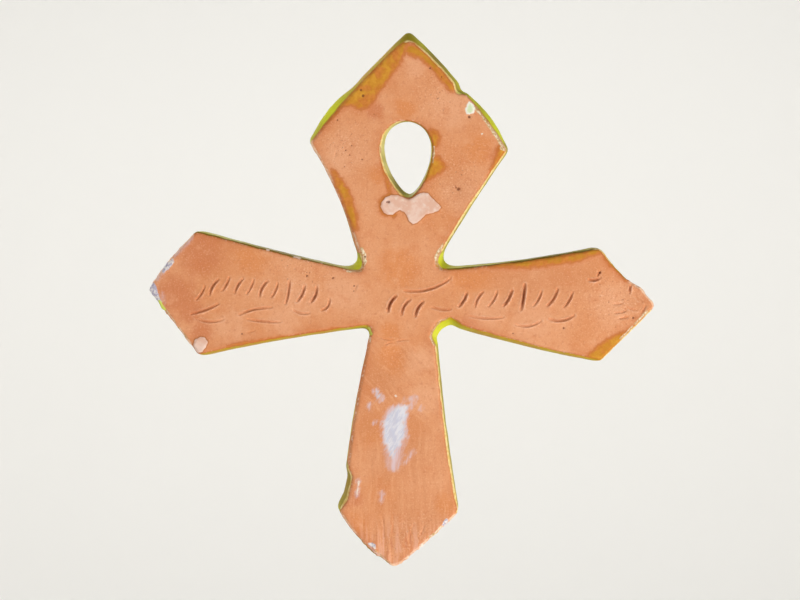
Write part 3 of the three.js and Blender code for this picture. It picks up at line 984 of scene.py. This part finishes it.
def bare_clay(f):
    """Mottled and speckled terracotta with some areas of painted shade, darker near its edge."""
    clay = f.blend(f.step(f.cloud, 0.36, 0.66), srgb(234, 165, 121), srgb(227, 152, 104))
    clay = f.blend(f.step(f.field("orange_area") + f.wobble, 0.15, 0.9) * 0.75, clay, srgb(228, 146, 90))
    clay = f.blend(f.step(f.field("red_area") + f.wobble, 0.15, 0.9) * 0.70, clay, srgb(212, 128, 86))
    clay = f.blend(f.step(f.field("pink_area") + f.wobble, 0.15, 0.9) * 0.75, clay, srgb(238, 174, 134))
    # Painted shade: the clay darkened and dulled in these areas
    clay = f.blend(f.field("dull_and_painted_shade_area") * 0.55, clay, srgb(214, 142, 98))
    clay = f.blend(f.step(f.blotch, 0.52, 0.72) * 0.40, clay, srgb(218, 134, 84))
    clay = f.blend(f.step(f.blotch, 0.46, 0.28) * 0.35, clay, srgb(243, 182, 142))
    clay = f.blend(f.step(f.fine, 0.52, 0.72) * 0.40, clay, srgb(206, 124, 82))
    speckled = f.field("speckled")
    clay = f.blend(f.step(f.grain, 0.54, 0.70) * (speckled * 0.35 + 0.30), clay, srgb(252, 206, 172))
    clay = f.blend(f.step(f.grain, 0.44, 0.30) * (speckled * 0.30 + 0.25), clay, srgb(196, 112, 74))
    clay = f.blend(f.step(f.dots, 0.66, 0.74) * speckled * 0.55, clay, srgb(150, 84, 62))
    return f.blend(f.step(f.edge, 3.4, 0.5) * f.step(f.cloud, 0.35, 0.6) * 0.30, clay, srgb(206, 122, 80))


def wiped_clay(f, clay):
    """Streaks of wiping: upright down the bottom arm, slanted above that, and strong at its tip, where they
    are painted highlights on the ridges with painted shade between them.
    """
    height = f.part(f.spot, "Z")
    upright = f.step(height, *metres(UPRIGHT_STREAKS))
    slanted = f.step(height, *metres(SLANTED_STREAKS)) * f.step(height, *metres(SLANTED_STREAKS_END))
    tip = f.step(height, *metres(TIP_RIDGE_PAINTED_LIGHT))
    clay = f.blend(upright * f.step(f.streaks, 0.50, 0.70) * 0.30, clay, srgb(244, 184, 142))
    clay = f.blend(upright * f.step(f.streaks, 0.46, 0.30) * 0.25, clay, srgb(212, 140, 96))
    clay = f.blend(slanted * f.step(f.slanted, 0.50, 0.70) * 0.30, clay, srgb(244, 184, 142))
    clay = f.blend(slanted * f.step(f.slanted, 0.46, 0.30) * 0.22, clay, srgb(212, 140, 96))
    # Painted highlights on the tip's ridges, then painted shade between them
    clay = f.blend(tip * f.step(f.streaks, 0.46, 0.60) * 0.50, clay, srgb(244, 186, 164))
    return f.blend(tip * f.step(f.streaks, 0.46, 0.36) * 0.40, clay, srgb(198, 118, 90))


def worn_clay(f, clay):
    """Pale crumbs along the rims, rubbed stretches that also carry a painted highlight, and strokes with
    painted shade on their floors and a painted highlight on their lips.
    """
    on_rim = f.step(f.edge, 0.9, 0.3) * f.step(f.edge, -0.9, -0.1)
    crumbs = f.step(f.dots + f.crumble * 0.4, 0.54, 0.66) * on_rim
    clay = f.blend(crumbs * 0.65, clay, srgb(248, 216, 194))
    # Rubbed pale clay on the worn rims, which is also a painted highlight along them
    worn = f.step(f.edge, 0.80, 0.30) * f.step(f.edge, -1.0, -0.3) * f.field("worn_rim_and_painted_highlight")
    clay = f.blend(worn * f.step(f.fine, 0.30, 0.55) * 0.8, clay, srgb(254, 218, 186))
    # Painted shade on the grooves' floors, then a painted highlight on the clay pushed up beside them
    clay = f.blend(f.field("groove") * 0.80, clay, srgb(132, 66, 42))
    return f.blend(f.field("burr_and_painted_highlight") * 0.60, clay, srgb(254, 210, 180))


def ochre_spills(f, clay):
    """Thin ochre glaze with a stained outline over the clay, and the share of it that pooled golden."""
    spill = f.field("spill") + f.wobble * 2.4 + f.crumble * 0.6
    ochre = f.blend(f.step(f.fine, 0.38, 0.62), srgb(204, 122, 54), srgb(216, 138, 64))
    golden = f.blend(f.step(f.wobble, -0.12, 0.12), srgb(206, 140, 44), srgb(220, 162, 56))
    # Painted shade from the olive areas darkens the golden glaze there too
    golden = f.blend(f.field("painted_shade_olive_area") * 0.6, golden, srgb(180, 138, 36))
    back = f.blend(f.step(spill, 1.5, -0.4) * 0.55, clay, srgb(212, 124, 66))
    back = f.blend(f.step(spill, 0.7, 0.1) * f.step(spill, -0.8, -0.1) * 0.45, back, srgb(190, 102, 50))
    back = f.blend(f.step(spill, 0.55, -0.85) * 0.95, back, ochre)
    pooled = f.step(spill, -0.1, -1.0) * f.step(f.blotch, 0.38, 0.56)
    return f.blend(pooled * 0.80, back, golden), pooled


def pink_slip(f, back):
    """Pale pink slip with an ochre outline, and where it is."""
    gap = f.field("slip") + f.wobble * 0.7
    slip = f.step(gap, 0.10, -0.12)
    back = f.blend(f.step(gap, 0.50, 0.10) * 0.7, back, srgb(178, 108, 58))
    pink = f.blend(f.step(f.blotch, 0.40, 0.60), srgb(244, 210, 194), srgb(234, 188, 166))
    pink = f.blend(f.step(f.fine, 0.5, 0.7) * 0.5, pink, srgb(248, 230, 220))
    return f.blend(slip, back, pink), slip


def white_smears(f, back):
    """A white smear and a lilac haze, both wiped on slantwise."""
    brushed = f.stretched(f.turned(f.spot, (0, 0.6, 0)), (1, 1, 0.25))
    hatch = f.mottle(brushed, 0.0010, 3, 0.6) - 0.5
    haze = f.step(f.field("haze") + f.wobble * 2.6 + hatch * 2.4, 0.8, -0.9)
    back = f.blend(haze * (f.step(f.streaks, 0.42, 0.60) * 0.45 + 0.30), back, srgb(226, 210, 222))
    smear = f.step(f.field("smear") + f.wobble * 2.4 + hatch * 3.0, 0.9, -0.8)
    white = f.blend(f.step(hatch, -0.1, 0.1), srgb(208, 212, 230), srgb(232, 234, 243))
    return f.blend(smear * 0.90, back, white)


def cream_crusts(f, back):
    """Crumbly cream crusts, and where they are."""
    crust = f.step(f.field("crust") + f.wobble + f.crumble * 0.8, 0.10, -0.15)
    cream = f.blend(f.step(f.crumble, -0.12, 0.12), srgb(208, 168, 118), srgb(249, 234, 206))
    return f.blend(crust, back, cream), crust


def lime_glaze(f):
    """Yellow-green glaze with ochre areas, lime areas with painted light, cream areas of painted light and
    olive areas of painted shade, in the rim's own colour where it ends, which is painted shade on the olive
    rims and partly a painted highlight on the pale rims.
    """
    pool = f.mottle(f.spot, 0.009, 3, 0.55)
    glaze = f.blend(f.step(pool, 0.35, 0.70), srgb(204, 200, 50), srgb(180, 170, 38))
    # Painted light: lime on walls that face the light, over pooled glaze
    glaze = f.blend(f.field("lime_and_painted_light_area") * 0.90, glaze, srgb(222, 226, 44))
    # Painted shade: dark olive on walls turned from the light
    glaze = f.blend(f.field("painted_shade_olive_area") * 0.80, glaze, srgb(138, 120, 30))
    glaze = f.blend(f.field("ochre_area") * 0.85, glaze, srgb(202, 154, 54))
    glaze = f.blend(f.step(f.mottle(f.spot, 0.003, 3), 0.52, 0.72) * 0.22, glaze, srgb(150, 120, 30))
    # The glaze just inside the pale rims is painted darker
    glaze = f.blend(f.field("thin_glaze_and_painted_highlight_rim") * 0.7, glaze, srgb(158, 136, 54))
    # Painted light: cream on the hole's lit wall
    glaze = f.blend(f.field("painted_light_cream_area") * 0.85, glaze, srgb(226, 216, 138))
    rim = f.blend(f.field("ochre_rim"), srgb(188, 138, 48), srgb(204, 160, 44))
    # Painted shade: the dark olive rims on the tops of the side arms
    rim = f.blend(f.field("painted_shade_olive_rim"), rim, srgb(136, 106, 34))
    # Painted highlight: the cream of the pale rims, over glaze that runs thin there
    pale = f.blend(f.step(f.fine + f.wobble * 0.5, 0.38, 0.60), srgb(238, 198, 118), srgb(253, 232, 168))
    rim = f.blend(f.field("thin_glaze_and_painted_highlight_rim"), rim, pale)
    return f.blend(f.step(f.edge, -0.9, -0.05) * 0.9, glaze, rim)


def chips_and_drops(f, colour):
    """Cream or lilac-grey chips, the pale green drop of glaze at the nick, and spots of lime glaze."""
    gap = f.field("chips") + f.wobble * 1.5
    chips = f.step(gap + f.crumble * 0.7, 0.10, -0.20)
    mottled = f.step(f.wobble + f.crumble, -0.12, 0.10)
    cream = f.blend(mottled, srgb(240, 208, 190), srgb(252, 238, 224))
    lilac = f.blend(mottled, srgb(186, 178, 200), srgb(238, 232, 230))
    drop = f.blend(f.step(gap, -0.3, -0.9), srgb(250, 250, 238), srgb(218, 236, 192))
    chip = f.blend(f.step(f.field("lilac_area"), 0.3, 0.7), cream, lilac)
    chip = f.blend(f.step(f.field("lime_and_painted_light_area"), 0.2, 0.7) * 0.9, chip, drop)
    colour = f.blend(chips, colour, chip)
    lime = f.step(f.field("lime") + f.wobble * 1.2, 0.15, -0.25)
    return f.blend(lime, colour, srgb(222, 228, 112))


def fired_clay_finish():
    """Bare terracotta with spills and patches on the back, and yellow-green glaze on the walls and front."""
    f = ClayFinish()
    clay = worn_clay(f, wiped_clay(f, bare_clay(f)))
    back, pooled = ochre_spills(f, clay)
    back, slip = pink_slip(f, back)
    back, crust = cream_crusts(f, white_smears(f, back))
    # The pores are painted dark: painted shade in the pits, and dark spots in the clay
    pores = f.step(f.field("pores") + f.crumble * 0.8, 1.15, 0.5)
    back = f.blend(pores * 0.85, back, srgb(120, 68, 46))

    run = f.field("past_glaze") + f.wobble * 0.5 + f.crumble * 0.25
    glazed = f.step(run, 0.10, -0.06)
    stain = f.step(run, 0.65, 0.10) * (1 - f.field("bare_rim")) * 0.5
    back = f.blend(stain, back, srgb(190, 110, 52))
    colour = f.blend(glazed, back, lime_glaze(f))
    colour = f.blend(crust * 0.8, colour, back)
    colour = chips_and_drops(f, colour)

    patch_shine = pooled * 0.35 + slip * 0.22
    shine = patch_shine + (0.25 - patch_shine) * glazed
    bump_height = (f.fine * 0.6 + f.grain * 0.5) * (1 - glazed * 0.92)
    bump = f.node("ShaderNodeBump", {}, {"Strength": 0.8, "Distance": 0.00016, "Height": bump_height}, 0)
    sockets = {
        "Base Color": colour, "Roughness": 0.88 - shine, "Normal": bump, "Specular IOR Level": 0.08,
        "Coat Weight": glazed * f.field("front"), "Coat Roughness": 0.12,
    }
    f.finish(f.node("ShaderNodeBsdfPrincipled", {}, sockets, 0))
    return f.material


def studio_finish():
    """A matt pale grey, a little lighter up the wall."""
    f = Finish("pale_studio")
    wall = f.step(f.part(f.place(), "Z"), FLOOR_HEIGHT, WALL_TONE_HEIGHT)
    tone = f.blend(wall, srgb(226, 225, 222), srgb(240, 239, 236))
    f.finish(f.node("ShaderNodeBsdfPrincipled", {}, {"Base Color": tone, "Roughness": 0.9}, 0))
    return f.material


def studio():
    """A pale floor that curves up into a round wall, far from the cross on every side."""
    shape = bmesh.new()
    curve = [(0.0, FLOOR_HEIGHT), (FLOOR_RADIUS, FLOOR_HEIGHT)]
    bend = WALL_RADIUS - FLOOR_RADIUS
    for k in range(1, BEND_STEPS + 1):
        angle = k / BEND_STEPS * math.pi / 2
        curve.append((FLOOR_RADIUS + bend * math.sin(angle), FLOOR_HEIGHT + bend * (1 - math.cos(angle))))
    curve.append((WALL_RADIUS, WALL_TOP))
    line = [shape.verts.new((x, 0, z)) for x, z in curve]
    edges = [shape.edges.new(pair) for pair in zip(line, line[1:])]
    turn = {"cent": (0, 0, 0), "axis": (0, 0, 1), "angle": math.tau, "steps": TURN_STEPS}
    bmesh.ops.spin(shape, geom=line + edges, use_merge=True, **turn)
    bmesh.ops.remove_doubles(shape, verts=shape.verts, dist=1e-5)
    bmesh.ops.recalc_face_normals(shape, faces=shape.faces)
    for face in shape.faces:
        face.smooth = True
    mesh = bpy.data.meshes.new("studio_floor")
    shape.to_mesh(mesh)
    shape.free()
    floor = bpy.data.objects.new("studio_floor", mesh)
    bpy.context.scene.collection.objects.link(floor)
    mesh.materials.append(studio_finish())


def soft_light(name, place, aim, width, power, colour=(1, 1, 1)):
    """A round lamp that shines from its place at what it is aimed at."""
    lamp = bpy.data.lights.new(name, "AREA")
    lamp.shape = "DISK"
    lamp.size = width
    lamp.energy = power
    lamp.color = colour
    light = bpy.data.objects.new(name, lamp)
    light.location = place
    light.rotation_euler = (Vector(aim) - Vector(place)).to_track_quat("-Z", "Y").to_euler()
    light.visible_camera = False
    bpy.context.scene.collection.objects.link(light)


def studio_lights():
    """The lamps on the cross from both sides, the lamps that face the wall, and a dim room."""
    middle = (0, 0, -0.05)
    soft_light("key", (-0.60, 0.60, -0.38), middle, 0.20, 4.9, (1.0, 0.97, 0.93))
    soft_light("front_key", (0.15, -1.10, 0.25), middle, 0.5, 3.4)
    soft_light("edge_light", (0.75, -0.10, 0.75), middle, 0.4, 2.4)
    soft_light("front_fill", (-0.60, -0.70, -0.25), middle, 0.4, 1.0)
    soft_light("wall_behind", (0, -0.45, 0.20), (0, -1.60, 0.0), 0.9, 6.1)
    soft_light("wall_before", (0, 0.60, 0.20), (0, 1.60, 0.0), 0.9, 2.4)
    soft_light("wall_left", (0.60, 0, 0.20), (1.60, 0, 0.0), 0.9, 3.2)
    soft_light("wall_right", (-0.60, 0, 0.20), (-1.60, 0, 0.0), 0.9, 2.4)
    world = bpy.data.worlds.new("soft_room")
    world.use_nodes = True
    world.node_tree.nodes["Background"].inputs["Color"].default_value = (1, 1, 1, 1)
    world.node_tree.nodes["Background"].inputs["Strength"].default_value = 0.3
    bpy.context.scene.world = world


def photo_camera():
    """Square to the back face, framed as in the photo."""
    lens = CAMERA_DISTANCE / MM * PIXELS_PER_MM / FRAME_WIDTH * SENSOR_WIDTH
    data = bpy.data.cameras.new("photo_camera")
    data.lens = lens
    data.sensor_width = SENSOR_WIDTH
    data.clip_start = 0.01
    camera = bpy.data.objects.new("photo_camera", data)
    right = (FRAME_CENTRE[0] - ORIGIN_PIXEL[0]) / PIXELS_PER_MM * MM
    up = (ORIGIN_PIXEL[1] - FRAME_CENTRE[1]) / PIXELS_PER_MM * MM
    camera.location = (-right, CAMERA_DISTANCE, up)
    camera.rotation_euler = (math.pi / 2, 0, math.pi)
    bpy.context.scene.collection.objects.link(camera)
    bpy.context.scene.camera = camera


photo_camera()
studio()
studio_lights()
bpy.context.scene.view_settings.view_transform = "Standard"

cross = clay_cross()
cross.data.materials.clear()
cross.data.materials.append(fired_clay_finish())
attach(cross, "root")
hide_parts("ceramic_cross")
